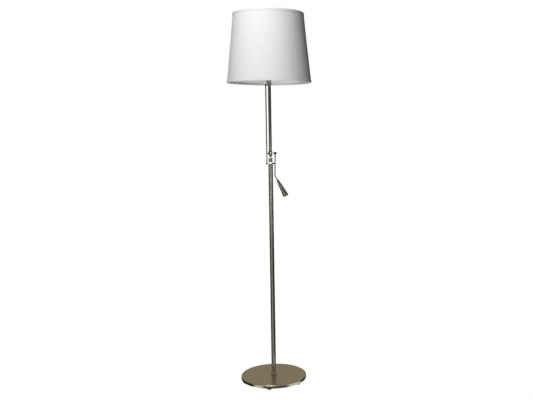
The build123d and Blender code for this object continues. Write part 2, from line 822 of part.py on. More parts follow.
with BuildPart() as shade_fitter:
    tube(fitter_outer, fitter_bore, fitter_z, fitter_top_z)
    for turn in range(spoke_count):
        angle = spoke_first_angle + 360 / spoke_count * turn
        outward = (cos(radians(angle)), sin(radians(angle)), 0)
        across = Plane(origin=(0, 0, 0), x_dir=outward, z_dir=Vector(*outward).cross(Vector(0, 0, 1)))
        with BuildLine(across) as spoke_path:
            FilletPolyline(
                (spoke_start, spoke_z),
                (spoke_flat_reach, spoke_z),
                (spoke_end, bottom_ring_z),
                radius=spoke_bend_radius,
            )
        with BuildSketch(Plane(origin=spoke_path.line @ 0, z_dir=spoke_path.line % 0)):
            Circle(wire_radius)
        sweep(path=spoke_path.line)
    wire_ring(bottom_ring_radius, bottom_ring_z, cope=weld_cope, mode=Mode.SUBTRACT)

# ================================================================ write
nodes = {
    "base_cover": base_cover,
    "base_weight": base_weight,
    "rubber_feet": rubber_feet,
    "cord_inlet": cord_inlet,
    "mast_stud": mast_stud,
    "stud_washer": stud_washer,
    "stud_nut": stud_nut,
    "mast_foot_collar": mast_foot_collar,
    "mast_bush": mast_bush,
    "mast_tube": mast_tube,
    "mast_head": mast_head,
    "knuckle_collar": knuckle_collar,
    "knuckle_screw": knuckle_screw,
    "rod_pin_shaft": rod_pin_shaft,
    "rod_pin_spacers": rod_pin_spacers,
    "rod_pin_dome": rod_pin_dome,
    "arm_fork": arm_fork,
    "arm_tube": arm_tube,
    "arm_top_eye": arm_top_eye,
    "arm_pin": arm_pin,
    "arm_pin_cap": arm_pin_cap,
    "arm_pin_washer": arm_pin_washer,
    "lever_hub": lever_hub,
    "lever_wire": lever_wire,
    "lever_grip": lever_grip,
    "parallel_rod": parallel_rod,
    "rod_lower_ball": rod_lower_ball,
    "rod_upper_eye": rod_upper_eye,
    "carrier_bracket": carrier_bracket,
    "carrier_pin": carrier_pin,
    "rod_top_pin": rod_top_pin,
    "rod_top_spacer": rod_top_spacer,
    "holder_nipple": holder_nipple,
    "holder_cap": holder_cap,
    "holder_skirt": holder_skirt,
    "socket_insert": socket_insert,
    "socket_contact": socket_contact,
    "socket_shell": socket_shell,
    "shade_ring_lower": shade_ring_lower,
    "shade_ring_upper": shade_ring_upper,
    "shade_cover": shade_cover,
    "shade_hem_bottom": shade_hem_bottom,
    "shade_hem_top": shade_hem_top,
    "shade_bottom_ring": shade_bottom_ring,
    "shade_top_ring": shade_top_ring,
    "shade_fitter": shade_fitter,
}

os.makedirs("parts", exist_ok=True)
for name, node in nodes.items():
    node.part.label = name
    export_step(node.part, f"parts/{name}.step")
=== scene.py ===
# %% [markdown]
# # A floor lamp with a tilting arm
#
# The metalwork of this lamp was designed as a CAD model, and it is loaded here as a fixed frame.
# This lesson adds what CAD leaves out: the cloth shade with its rolled hems, and the finish of
# every surface. Each step first says what the real piece is, and then makes it.

import json
from math import cos, pi, radians, sin

import bmesh
import bpy
from mathutils import Matrix, Vector


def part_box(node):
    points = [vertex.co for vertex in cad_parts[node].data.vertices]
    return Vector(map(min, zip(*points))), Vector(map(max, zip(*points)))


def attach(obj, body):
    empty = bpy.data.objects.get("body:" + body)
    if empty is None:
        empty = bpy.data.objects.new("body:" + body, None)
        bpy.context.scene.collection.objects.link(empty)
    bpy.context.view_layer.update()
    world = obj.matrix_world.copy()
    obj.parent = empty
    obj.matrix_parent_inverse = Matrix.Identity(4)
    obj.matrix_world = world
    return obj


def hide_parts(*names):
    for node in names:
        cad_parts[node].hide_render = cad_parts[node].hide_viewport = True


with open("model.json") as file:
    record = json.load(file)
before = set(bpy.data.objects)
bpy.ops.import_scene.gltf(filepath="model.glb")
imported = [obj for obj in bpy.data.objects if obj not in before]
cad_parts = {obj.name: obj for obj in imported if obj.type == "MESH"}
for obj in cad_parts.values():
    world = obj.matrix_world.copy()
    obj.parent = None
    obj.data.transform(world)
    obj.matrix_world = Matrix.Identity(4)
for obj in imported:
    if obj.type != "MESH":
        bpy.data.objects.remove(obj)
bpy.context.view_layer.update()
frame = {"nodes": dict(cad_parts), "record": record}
nodes = frame["nodes"]
record = frame["record"]

# %% [markdown]
# ## The camera
#
# The lamp is seen from the front, with the lens about two thirds of the way up and turned a few
# degrees down. The camera stands a little to the right and looks straight ahead, so the lamp is
# left of the lens axis. The lens is then shifted to bring the lamp back to the middle. Seen this
# way the mast leans to the left as it goes up, and the rims of the shade and the base stay nearly
# level.

# %% Camera
camera_height = 1.0922
camera_distance = 3.0016
camera_right = 0.2482
camera_pitch = 5.947
camera_roll = -0.406
camera_lens = 48.018
camera_shift = -0.1185

camera_data = bpy.data.cameras.new("camera")
camera_data.lens = camera_lens
camera_data.sensor_width = 36
camera_data.shift_x = camera_shift
camera_data.dof.use_dof = False
camera = bpy.data.objects.new("camera", camera_data)
bpy.context.scene.collection.objects.link(camera)
pitch = Matrix.Rotation(radians(90 - camera_pitch), 4, "X")
roll = Matrix.Rotation(radians(camera_roll), 4, "Z")
place = Matrix.Translation((camera_right, -camera_distance, camera_height))
camera.matrix_world = place @ (pitch @ roll)
bpy.context.scene.camera = camera
print("camera at", tuple(round(v, 3) for v in camera.matrix_world.translation))

# %% [markdown]
# ## Helpers for node trees
#
# A material is a small program of nodes. These helpers keep each one short. `fill` either links a
# socket or sets it, `put` adds a node and fills in its values, `maths` is one step of arithmetic,
# and `ramp` stretches one range of values to another.


# %% Node helpers
def fill(tree, socket, value):
    """Link a socket to an output, or set its value."""
    if isinstance(value, bpy.types.NodeSocket):
        tree.links.new(value, socket)
    else:
        socket.default_value = value


def put(tree, kind, settings=None, **inputs):
    """Add a node. Inputs go by name, with _ for a space, or by number, as i0, i1 and so on."""
    node = tree.nodes.new(kind)
    for key, value in (settings or {}).items():
        setattr(node, key, value)
    for key, value in inputs.items():
        by_number = key[0] == "i" and key[1:].isdigit()
        fill(tree, node.inputs[int(key[1:]) if by_number else key.replace("_", " ")], value)
    return node


def maths(tree, operation, a, b=0.0, c=0.0):
    """One step of arithmetic on values that change over the surface."""
    return put(tree, "ShaderNodeMath", {"operation": operation}, i0=a, i1=b, i2=c).outputs[0]


def ramp(tree, value, low, high):
    """0 at low and 1 at high, clamped. Low may be the larger of the two."""
    node = put(tree, "ShaderNodeMapRange", {"clamp": True}, i0=value, i1=low, i2=high, i3=0.0, i4=1.0)
    return node.outputs[0]


print("node helpers: fill, put, maths, ramp")

# %% [markdown]
# ## Colour and noise
#
# Nearly every finish is two colours mixed by some pattern, and most patterns start as a noise
# texture. `toned` gives the darker or lighter version of a colour that a mix needs.


# %% Colour and noise helpers
def toned(colour, factor):
    """A darker or lighter version of a colour, with its alpha."""
    return (*[min(1.0, c * factor) for c in colour], 1)


def mix_colour(tree, factor, a, b):
    """Mix two colours."""
    node = put(tree, "ShaderNodeMix", {"data_type": "RGBA", "blend_type": "MIX"})
    fill(tree, node.inputs[0], factor)
    fill(tree, node.inputs[6], a)
    fill(tree, node.inputs[7], b)
    return node.outputs[2]


def noise(tree, vector, scale, detail=2.0, roughness=0.5):
    """A noise value from 0 to 1."""
    values = {"Vector": vector, "Scale": scale, "Detail": detail, "Roughness": roughness}
    return put(tree, "ShaderNodeTexNoise", {"noise_dimensions": "3D"}, **values).outputs[0]


print("colour helpers: toned, mix_colour, noise")

# %% [markdown]
# ## Node groups and materials
#
# An effect that several finishes share is built once as a node group, with named inputs and
# outputs, and placed in each material with its own values. The shader itself always stays in the
# material.


# %% Group and material helpers
def new_group(name, inputs, outputs):
    """An empty shader node group with named inputs and outputs."""
    tree = bpy.data.node_groups.new(name, "ShaderNodeTree")
    for label, kind, value in inputs:
        socket = tree.interface.new_socket(label, in_out="INPUT", socket_type=kind)
        if value is not None:
            socket.default_value = value
    for label, kind in outputs:
        tree.interface.new_socket(label, in_out="OUTPUT", socket_type=kind)
    return tree, tree.nodes.new("NodeGroupInput"), tree.nodes.new("NodeGroupOutput")


def use_group(tree, group, **inputs):
    """Place a node group in a material with its own values."""
    return put(tree, "ShaderNodeGroup", {"node_tree": group}, **inputs)


def object_place(tree):
    """Where a point is, in the object's own coordinates."""
    return put(tree, "ShaderNodeTexCoord").outputs["Object"]


def new_material(name, colour, roughness, metallic=0.0):
    """A material with one Principled shader, its tree and its shader."""
    material = bpy.data.materials.new(name + "_finish")
    material.use_nodes = True
    tree = material.node_tree
    shader = tree.nodes["Principled BSDF"]
    shader.inputs["Base Color"].default_value = (*colour, 1)
    shader.inputs["Roughness"].default_value = roughness
    shader.inputs["Metallic"].default_value = metallic
    material.diffuse_color = (*colour, 1)
    return material, tree, shader


def add_relief(tree, shader, height, depth):
    """Turn a height into bumps of a given depth in metres."""
    bump = put(tree, "ShaderNodeBump", Strength=1.0, Distance=depth, Height=height)
    tree.links.new(bump.outputs[0], shader.inputs["Normal"])


print("group and material helpers ready")

# %% [markdown]
# ## Lathe grain
#
# The nickel-plated tubes, collars and the base were turned or belt-polished before plating, so
# fine rings run round them. A ring pattern only has to know two things about a point: how far it
# is from the turning axis, and how far along that axis. Both are fed to a noise texture, and the
# angle is left almost out, so the noise draws rings. It gives a height for the bump, and a mask
# that varies the colour and the roughness.


# %% Group: lathe grain
def make_lathe_grain():
    tree, source, sink = new_group(
        "lathe_grain",
        [("Vector", "NodeSocketVector", None), ("Rings per metre", "NodeSocketFloat", 1800.0)],
        [("Height", "NodeSocketFloat"), ("Streak", "NodeSocketFloat")],
    )
    parts = put(tree, "ShaderNodeSeparateXYZ", i0=source.outputs["Vector"])
    flat = put(tree, "ShaderNodeCombineXYZ", X=parts.outputs["X"], Y=parts.outputs["Y"])
    length = put(tree, "ShaderNodeVectorMath", {"operation": "LENGTH"}, i0=flat.outputs[0])
    angle = maths(tree, "ARCTAN2", parts.outputs["Y"], parts.outputs["X"])
    rings = source.outputs["Rings per metre"]
    coordinate = put(
        tree,
        "ShaderNodeCombineXYZ",
        X=maths(tree, "MULTIPLY", length.outputs["Value"], rings),
        Y=maths(tree, "MULTIPLY", parts.outputs["Z"], rings),
        Z=maths(tree, "MULTIPLY", angle, 0.6),
    ).outputs[0]
    fine = noise(tree, coordinate, 1.0, 3.0, 0.7)
    broad = noise(tree, coordinate, 0.08)
    streak = maths(tree, "MULTIPLY_ADD", fine, 0.5, maths(tree, "MULTIPLY", broad, 0.5))
    tree.links.new(fine, sink.inputs["Height"])
    tree.links.new(streak, sink.inputs["Streak"])
    return tree


lathe_grain = make_lathe_grain()
print("group", lathe_grain.name)

# %% [markdown]
# ## Handling marks and edge polish
#
# Hands and dusters change a plated surface in two ways: soft smudges that dull it in patches, and
# corners that are rubbed brighter. The smudges are a large soft noise. The corners are found with
# the Bevel node: where its rounded normal differs from the true one, there is an edge.


# %% Group: smudges, and group: edge polish
def make_smudges():
    tree, source, sink = new_group(
        "smudges",
        [("Vector", "NodeSocketVector", None), ("Scale", "NodeSocketFloat", 14.0)],
        [("Mask", "NodeSocketFloat")],
    )
    cloud = noise(tree, source.outputs["Vector"], source.outputs["Scale"], 5.0, 0.6)
    tree.links.new(ramp(tree, cloud, 0.42, 0.72), sink.inputs["Mask"])
    return tree


def make_edge_polish():
    tree, source, sink = new_group(
        "edge_polish",
        [("Radius", "NodeSocketFloat", 0.0008)],
        [("Mask", "NodeSocketFloat")],
    )
    rounded = put(tree, "ShaderNodeBevel", {"samples": 4}, Radius=source.outputs["Radius"])
    true_normal = put(tree, "ShaderNodeNewGeometry").outputs["Normal"]
    agree = put(tree, "ShaderNodeVectorMath", {"operation": "DOT_PRODUCT"}, i0=rounded.outputs[0])
    tree.links.new(true_normal, agree.inputs[1])
    tree.links.new(ramp(tree, agree.outputs["Value"], 0.97, 0.8), sink.inputs["Mask"])
    return tree


smudges = make_smudges()
edge_polish = make_edge_polish()
print("groups", smudges.name, edge_polish.name)

# %% [markdown]
# ## Satin nickel
#
# Nickel is a warm grey metal, a little yellow beside chrome. The satin plate is not a mirror: its
# fine rings blur what it reflects. So the roughness is set a little above 0.2, and the rings and
# the smudges each move it a little. Rubbed edges are a lighter colour. Pieces that were turned on
# other axes, such as the pins and the handle, first have their coordinates moved onto their own
# axis by a Mapping node.

# %% Metal maker
deep_rings = 0.000003
soft_rings = 0.000002
faint_rings = 0.000001


def make_metal(name, colour, roughness, place=None, rings=1800.0, relief=deep_rings):
    """A turned and plated metal. place is the matrix that puts the turning axis on Z."""
    material, tree, shader = new_material(name, colour, roughness, 1.0)
    where = object_place(tree)
    if place is not None:
        inverse = place.inverted()
        mapping = put(tree, "ShaderNodeMapping", {"vector_type": "POINT"}, Vector=where)
        mapping.inputs["Location"].default_value = inverse.to_translation()
        mapping.inputs["Rotation"].default_value = inverse.to_euler("XYZ")
        where = mapping.outputs[0]
    grain = use_group(tree, lathe_grain, Vector=where, Rings_per_metre=rings)
    smudge = use_group(tree, smudges, Vector=where)
    edge = use_group(tree, edge_polish)
    tint = mix_colour(tree, grain.outputs["Streak"], toned(colour, 0.9), toned(colour, 1.08))
    rubbed = maths(tree, "MULTIPLY", edge.outputs["Mask"], 0.5)
    tree.links.new(mix_colour(tree, rubbed, tint, toned(colour, 1.25)), shader.inputs["Base Color"])
    dull = maths(tree, "MULTIPLY_ADD", smudge.outputs["Mask"], 0.05, roughness - 0.04)
    dull = maths(tree, "MULTIPLY_ADD", grain.outputs["Streak"], 0.08, dull)
    tree.links.new(dull, shader.inputs["Roughness"])
    add_relief(tree, shader, grain.outputs["Height"], relief)
    return material


nickel_colour = (0.52, 0.49, 0.42)
satin_nickel = make_metal("satin_nickel", nickel_colour, 0.23)
print("made", satin_nickel.name)

# %% [markdown]
# ## The base plate's finish
#
# The base cover is a pressed disc that was spun against a brush, so its rings are centred on the
# mast. It lies flat and catches the room at a low angle, where even satin metal mirrors what
# stands on it. Its rings are closer together than the tubes' rings.

# %% Base finish
spun_nickel = make_metal("spun_nickel", nickel_colour, 0.25, rings=2600.0)
print("made", spun_nickel.name)

# %% [markdown]
# ## Turning axes
#
# The cross pins lie along X. The handle lies along its own slanted line, which runs from the
# middle of its small end to the middle of its large end. The lever's hub and wire are upright,
# but stand to one side of the lamp's axis. Each place is a matrix made from the node's own box.


# %% Turning axes
def axis_place(point, direction):
    """The matrix that carries +Z at the origin to a direction at a point."""
    turn = Vector(direction).to_track_quat("Z", "Y").to_matrix().to_4x4()
    return Matrix.Translation(point) @ turn


def middle(node):
    """The middle of a node's box."""
    low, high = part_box(node)
    return (low + high) / 2


def upright_at(node):
    """The matrix for an upright axis through a node, beside the lamp's own axis."""
    return Matrix.Translation((middle(node).x, 0, 0))


x_axis = (1, 0, 0)
grip_low, grip_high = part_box("lever_grip")
grip_line = Vector((grip_high.x - grip_low.x, 0, grip_low.z - grip_high.z)).normalized()
on_grip = axis_place(middle("lever_grip"), grip_line)
on_arm_pin = axis_place(middle("arm_pin"), x_axis)
on_rod_pin = axis_place(middle("rod_pin_shaft"), x_axis)
print("arm pin axis at", tuple(round(v, 4) for v in middle("arm_pin")))

# %% [markdown]
# ## Metals on other axes
#
# The pins are brighter chrome, and their caps and the lever's hub are a darker polished plate. The
# lower pin's chrome is a darker copy of the upper pin's: painted shade that holds back the key
# light's glint on it.
# The wire is thin and dull. Zinc and brass are for the fixings that are hidden in the base and
# in the lampholder.

# %% Pins, handle and plating colours
dark_colour = (0.05, 0.048, 0.044)
pin_chrome = (0.62, 0.62, 0.6)
# Painted shade: the same chrome, darkened so that the key light's glint on the lower pin is weaker.
shaded_rod_pin_chrome = (0.45, 0.45, 0.43)
wire_colour = (0.36, 0.34, 0.3)
dark_roughness = 0.22

nickel_on_grip = make_metal("nickel_on_grip", nickel_colour, 0.25, on_grip, 1500.0)
nickel_on_pin = make_metal("nickel_on_pin", nickel_colour, 0.27, on_arm_pin)
chrome_on_pin = make_metal("chrome_on_pin", pin_chrome, 0.24, on_arm_pin, 900.0, faint_rings)
shaded_chrome_on_rod_pin = make_metal(
    "shaded_chrome_on_rod_pin", shaded_rod_pin_chrome, 0.3, on_rod_pin, 900.0, faint_rings
)
dark_on_pin = make_metal(
    "dark_on_pin", dark_colour, dark_roughness, on_arm_pin, relief=soft_rings
)
dark_on_rod_pin = make_metal(
    "dark_on_rod_pin", dark_colour, dark_roughness, on_rod_pin, relief=soft_rings
)
dark_upright = make_metal(
    "dark_upright", dark_colour, dark_roughness, upright_at("lever_hub"), relief=soft_rings
)
wire_nickel = make_metal("wire_nickel", wire_colour, 0.34, upright_at("lever_wire"))
zinc_steel = make_metal("zinc_steel", (0.62, 0.63, 0.62), 0.35, rings=1200.0)
brass = make_metal("brass", (0.78, 0.6, 0.28), 0.28, rings=1000.0)
print("metals made:", len([m for m in bpy.data.materials if m.name.endswith("_finish")]))

# %% [markdown]
# ## Cast iron, rubber and plastic
#
# The weight under the base is a rough sand casting. The feet are moulded rubber with a chalky
# bloom. The lampholder and its rings are injection-moulded, with the slight orange-peel skin
# that a mould leaves. All of them are one fine noise, at a scale and a depth that suit each.


# %% Moulded and cast finishes
def make_grainy(name, colour, roughness, scale, relief, spread, shine=0.5):
    """A material with a fine irregular skin."""
    material, tree, shader = new_material(name, colour, roughness)
    where = object_place(tree)
    skin = noise(tree, where, scale, 4.0, 0.65)
    smudge = use_group(tree, smudges, Vector=where, Scale=40.0)
    pale = (*[min(1.0, c + spread) for c in colour], 1)
    body = mix_colour(tree, skin, toned(colour, 1 - spread), pale)
    bloom = maths(tree, "MULTIPLY", smudge.outputs["Mask"], 0.35)
    tree.links.new(mix_colour(tree, bloom, body, pale), shader.inputs["Base Color"])
    dull = maths(tree, "MULTIPLY_ADD", skin, 0.2, roughness - 0.1)
    tree.links.new(dull, shader.inputs["Roughness"])
    add_relief(tree, shader, skin, relief)
    shader.inputs["Specular IOR Level"].default_value = shine
    return material


cast_iron = make_grainy("cast_iron", (0.07, 0.068, 0.066), 0.75, 900.0, 0.0003, 0.05)
black_rubber = make_grainy("black_rubber", (0.01, 0.01, 0.011), 0.75, 1400.0, 0.00008, 0.006, 0.15)
black_plastic = make_grainy("black_plastic", (0.02, 0.02, 0.021), 0.45, 2200.0, 0.00003, 0.015)
white_plastic = make_grainy("white_plastic", (0.8, 0.79, 0.76), 0.4, 2200.0, 0.00003, 0.04)
white_enamel = make_grainy("white_enamel", (0.82, 0.82, 0.8), 0.35, 1200.0, 0.00004, 0.04)
print("skins made: cast iron, rubber, two plastics, enamel")

# %% [markdown]
# ## Woven cloth
#
# The shade's cloth is a plain weave: each thread goes over one and under the next. In a shader
# that is two sets of rounded stripes, one along U and one along V, and a checkerboard that says
# which of the two is on top. The pattern reads the piece's own UV map, laid out in metres, so the
# threads follow the cone round. Real threads vary in thickness, so a long thin noise, a slub,
# widens some of them.


# %% Group: plain weave
def make_weave():
    tree, source, sink = new_group(
        "plain_weave",
        [("Vector", "NodeSocketVector", None), ("Threads per metre", "NodeSocketFloat", 1250.0)],
        [("Height", "NodeSocketFloat"), ("Slub", "NodeSocketFloat")],
    )
    parts = put(tree, "ShaderNodeSeparateXYZ", i0=source.outputs["Vector"])
    count = source.outputs["Threads per metre"]
    across = maths(tree, "MULTIPLY", parts.outputs["X"], count)
    up = maths(tree, "MULTIPLY", parts.outputs["Y"], count)

    def stripes(position):
        wave = maths(tree, "SINE", maths(tree, "MULTIPLY", position, pi))
        return maths(tree, "ABSOLUTE", wave)

    def thread(own, crossing):
        dip = maths(tree, "MULTIPLY_ADD", stripes(crossing), 0.5, 0.5)
        return maths(tree, "MULTIPLY", stripes(own), dip)

    over = maths(tree, "ADD", maths(tree, "FLOOR", across), maths(tree, "FLOOR", up))
    over = maths(tree, "PINGPONG", over, 1.0)
    under = maths(tree, "SUBTRACT", 1.0, over)
    warp = maths(tree, "MULTIPLY", thread(across, up), over)
    weft = maths(tree, "MULTIPLY", thread(up, across), under)
    woven = maths(tree, "ADD", warp, weft)

    drawn_out = 0.02
    along = put(tree, "ShaderNodeCombineXYZ", X=maths(tree, "MULTIPLY", across, drawn_out), Y=up)
    upward = put(tree, "ShaderNodeCombineXYZ", X=across, Y=maths(tree, "MULTIPLY", up, drawn_out))
    thick = [noise(tree, line.outputs[0], 0.7) for line in (along, upward)]
    slub = maths(tree, "MULTIPLY", maths(tree, "ADD", *thick), 0.5)
    tree.links.new(maths(tree, "MULTIPLY_ADD", slub, 0.6, woven), sink.inputs["Height"])
    tree.links.new(ramp(tree, slub, 0.35, 0.65), sink.inputs["Slub"])
    return tree


plain_weave = make_weave()
print("group", plain_weave.name)

# %% [markdown]
# ## White cloth
#
# The weave gives the bump and paints shade into the gaps between threads, the slubs vary the
# colour, and a little dust settles in soft patches. A low sheen stands for the fibre ends.


# %% Cloth maker
def make_cloth(name, colour, threads, relief):
    """White cloth: a weave in the bump, and slubs in the colour."""
    material, tree, shader = new_material(name, colour, 0.85)
    uv = put(tree, "ShaderNodeUVMap", {"uv_map": "cloth"}).outputs[0]
    weave = use_group(tree, plain_weave, Vector=uv, Threads_per_metre=threads)
    dust = use_group(tree, smudges, Vector=object_place(tree), Scale=6.0)
    body = mix_colour(tree, weave.outputs["Slub"], toned(colour, 0.93), toned(colour, 1.02))
    # Painted shade: the colour is darkened where the weave is low, in the gaps between the threads.
    thread_gap_shade = ramp(tree, weave.outputs["Height"], 0.1, 0.7)
    body = mix_colour(tree, thread_gap_shade, toned(colour, 0.86), body)
    dusty = maths(tree, "MULTIPLY", dust.outputs["Mask"], 0.08)
    tree.links.new(mix_colour(tree, dusty, body, toned(colour, 0.9)), shader.inputs["Base Color"])
    dull = maths(tree, "MULTIPLY_ADD", weave.outputs["Slub"], 0.1, 0.8)
    tree.links.new(dull, shader.inputs["Roughness"])
    shader.inputs["Sheen Weight"].default_value = 0.15
    shader.inputs["Sheen Roughness"].default_value = 0.4
    shader.inputs["Specular IOR Level"].default_value = 0.2
    add_relief(tree, shader, weave.outputs["Height"], relief)
    return material


shade_cloth_finish = make_cloth("shade_cloth", (0.86, 0.86, 0.865), 1250.0, 0.00012)
hem_finish = make_cloth("hem_tape", (0.83, 0.83, 0.83), 1500.0, 0.0001)
print("cloth:", shade_cloth_finish.name, hem_finish.name)

# %% [markdown]
# ## The liner
#
# Behind the cloth is a sheet of white styrene that holds the cone's shape. It is smooth, and it
# is what is seen from below and above.

# %% Liner finish
liner_finish = make_grainy("shade_liner", (0.84, 0.84, 0.83), 0.5, 260.0, 0.00005, 0.02)
print("made", liner_finish.name)

# %% [markdown]
# ## The shade's measures
#
# The shade is a cone cut off at both ends. Its measures come from the boxes of the CAD shade and
# its top hem, so the cloth lies where the CAD solid is.

# %% Shade measures
tape_thickness = 0.0004
cloth_thickness = 0.0006
liner_thickness = 0.0005

shade_low, shade_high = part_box("shade_cover")
hem_low, hem_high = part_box("shade_hem_top")
bottom_z, top_z = shade_low.z, shade_high.z
bottom_radius = (shade_high.x - shade_low.x) / 2
hem_radius = (hem_high.x - hem_low.x) / 2
hem_height = hem_high.z - hem_low.z
slope = (bottom_radius - (hem_radius - tape_thickness)) / ((top_z - hem_height) - bottom_z)


def cone_radius(z):
    """Outer radius of the shade at a height."""
    return bottom_radius - slope * (z - bottom_z)


print(f"shade: bottom radius {bottom_radius:.4f}, top radius {cone_radius(top_z):.4f}")
print(f"shade: height {top_z - bottom_z:.4f}")

# %% [markdown]
# ## Spinning a profile
#
# The cone, its liner and its hems are all bodies of revolution. Each is drawn as a closed outline
# of radius and height, and bmesh's spin operator turns it round the lamp's axis. The last step
# of the spin is merged with the first, and the normals are recalculated, because a spin may turn
# a shape inside out.

# %% Spin helper
around = 192


def object_from(name, bm):
    """Turn a bmesh into a smooth-shaded object that sits at the origin."""
    mesh = bpy.data.meshes.new(name)
    bm.to_mesh(mesh)
    bm.free()
    piece = bpy.data.objects.new(name, mesh)
    bpy.context.scene.collection.objects.link(piece)
    mesh.shade_smooth()
    mesh.set_sharp_from_angle(angle=radians(50))
    return piece


def spin_outline(name, outline):
    """A mesh object from a closed outline of (radius, height) points turned round the Z axis."""
    bm = bmesh.new()
    dots = [bm.verts.new((radius, 0, z)) for radius, z in outline]
    edges = [bm.edges.new(pair) for pair in zip(dots, dots[1:])]
    edges.append(bm.edges.new((dots[-1], dots[0])))
    full_turn = {"cent": (0, 0, 0), "axis": (0, 0, 1), "angle": 2 * pi, "steps": around}
    bmesh.ops.spin(bm, geom=dots + edges, use_merge=True, **full_turn)
    bmesh.ops.remove_doubles(bm, verts=bm.verts, dist=1e-6)
    bmesh.ops.recalc_face_normals(bm, faces=bm.faces)
    return object_from(name, bm)


print(f"spin: {around} steps, {2 * pi * bottom_radius / around * 1000:.1f} mm each at the hem")

# %% [markdown]
# ## Laying the cloth's grain
#
# The weave needs a UV map in metres: U is the distance round, and V is the distance up, plus how
# far the cone has drawn in. Each face first finds its own middle angle, and its corners are
# brought within half a turn of it, so that no face stretches right across the map.


# %% UV and hand-over helpers
def lay_uv_round(piece):
    """UV in metres: U runs round the axis, and V runs up and in."""
    mesh = piece.data
    layer = mesh.uv_layers.new(name="cloth")
    start = Vector((1, 0))
    for face in mesh.polygons:
        middle_angle = Vector((face.center.x, face.center.y)).angle_signed(start)
        for corner in face.loop_indices:
            spot = mesh.vertices[mesh.loops[corner].vertex_index].co
            flat = Vector((spot.x, spot.y))
            turn = flat.angle_signed(start)
            turn += 2 * pi * round((middle_angle - turn) / (2 * pi))
            layer.data[corner].uv = (turn * bottom_radius, spot.z + (bottom_radius - flat.length))


def finish_piece(piece, material, slot, *replaced):
    """Give a piece of the shade its material, put it on the carrier, and hide the nodes it stands
    for. slot is not used.
    """
    piece.data.materials.clear()
    piece.data.materials.append(material)
    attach(piece, "carrier")
    if replaced:
        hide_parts(*replaced)
    print(piece.name, "faces", len(piece.data.polygons))


print("helpers: lay_uv_round, finish_piece")

# %% [markdown]
# ## The cloth and its liner
#
# The cloth is laminated onto the liner, so the two lie face to face. Both are thin closed walls.
# They are cut into rows up the height, so that the wall can be pulled in a hair between the two
# wire rings, as a real laminate is.

# %% Cloth and liner
wall_rows = 24
waist = 0.0006


def wall_outline(outer_offset, thickness):
    """The closed outline of a thin wall, a given distance inside the cone's outer face."""
    heights = [bottom_z + (top_z - bottom_z) * i / wall_rows for i in range(wall_rows + 1)]

    def pulled_in(z):
        return waist * sin(pi * (z - bottom_z) / (top_z - bottom_z))

    outside = [(cone_radius(z) - outer_offset - pulled_in(z), z) for z in heights]
    inside = [(radius - thickness, z) for radius, z in reversed(outside)]
    return outside + inside


shade_cloth = spin_outline("shade_cloth", wall_outline(0.0, cloth_thickness))
lay_uv_round(shade_cloth)
finish_piece(shade_cloth, shade_cloth_finish, "shade_cloth", "shade_cover")

shade_liner = spin_outline("shade_liner", wall_outline(cloth_thickness, liner_thickness))
finish_piece(shade_liner, liner_finish, "shade_cloth", "shade_cover")

# %% [markdown]
# ## The rolled hems
#
# At each end the cloth is turned over a wire ring, and the fold is held by a strip of the same
# cloth about a centimetre wide. From outside, a hem shows as a soft round edge and a thin step
# where the strip ends. The outline starts at that step, goes round the wire, and comes back up
# the inside.

# %% Hems
hem_roll = 0.0021
hem_lift = 0.0009
hem_back = 0.007
hem_contact = 0.00005


def hem_outline(edge_z, away):
    """Outline of a hem. away is -1 at the bottom edge and +1 at the top edge."""
    inner_z = edge_z - away * hem_height
    shoulder_z = inner_z + away * 0.001
    roll_z = edge_z - away * hem_roll * 0.9
    roll_radius = cone_radius(roll_z) + hem_lift - hem_roll
    outside = [
        (cone_radius(inner_z) + hem_contact, inner_z),
        (cone_radius(inner_z) + hem_lift * 0.85, inner_z + away * 0.0002),
        (cone_radius(shoulder_z) + hem_lift, shoulder_z),
    ]
    turns = [radians(a) for a in range(0, 181, 15)]
    bead = [
        (roll_radius + hem_roll * cos(t), roll_z + away * hem_roll * sin(t)) for t in turns
    ]
    inside_z = edge_z - away * hem_back
    wall = cloth_thickness + liner_thickness
    inner_wall = cone_radius(inside_z) - wall
    inside = [
        (roll_radius - hem_roll * 0.95, roll_z - away * hem_roll * 0.5),
        (inner_wall - hem_lift, inside_z),
        (inner_wall, inside_z - away * 0.0003),
        (inner_wall, inside_z + away * 0.0005),
    ]
    through_wall = [(cone_radius(roll_z) - wall, roll_z), (cone_radius(roll_z), roll_z)]
    return outside + bead + inside + through_wall


for name, edge_z, away, node in (
    ("shade_hem_low", bottom_z, -1, "shade_hem_bottom"),
    ("shade_hem_high", top_z, 1, "shade_hem_top"),
):
    hem = spin_outline(name, hem_outline(edge_z, away))
    lay_uv_round(hem)
    finish_piece(hem, hem_finish, "hem_tape", node)

# %% [markdown]
# ## The lap seam
#
# The flat sheet is rolled into a cone and glued where its ends overlap, at the back. The lap is
# a strip a little proud of the cone. It starts as a short row of edges just above the bottom hem.
# The row is extruded upwards step by step, and drawn in each time as the cone narrows. Then the
# strip is given thickness. The extrude operator hands its edges back in no fixed order, so the
# parts of the mesh are sorted by place at the end.

# %% Lap seam
lap_width = 0.012
lap_steps = 6
lap_rows = 24
lap_thickness = 0.0005
lap_gap = 0.0005


def sort_by_place(parts, place):
    """Number the parts of a mesh by height, then across, then depth, and sort by number."""

    def key(part):
        point = place(part)
        return tuple(round(c, 6) for c in (point.z, point.x, point.y))

    for number, part in enumerate(sorted(parts, key=key)):
        part.index = number
    parts.sort()


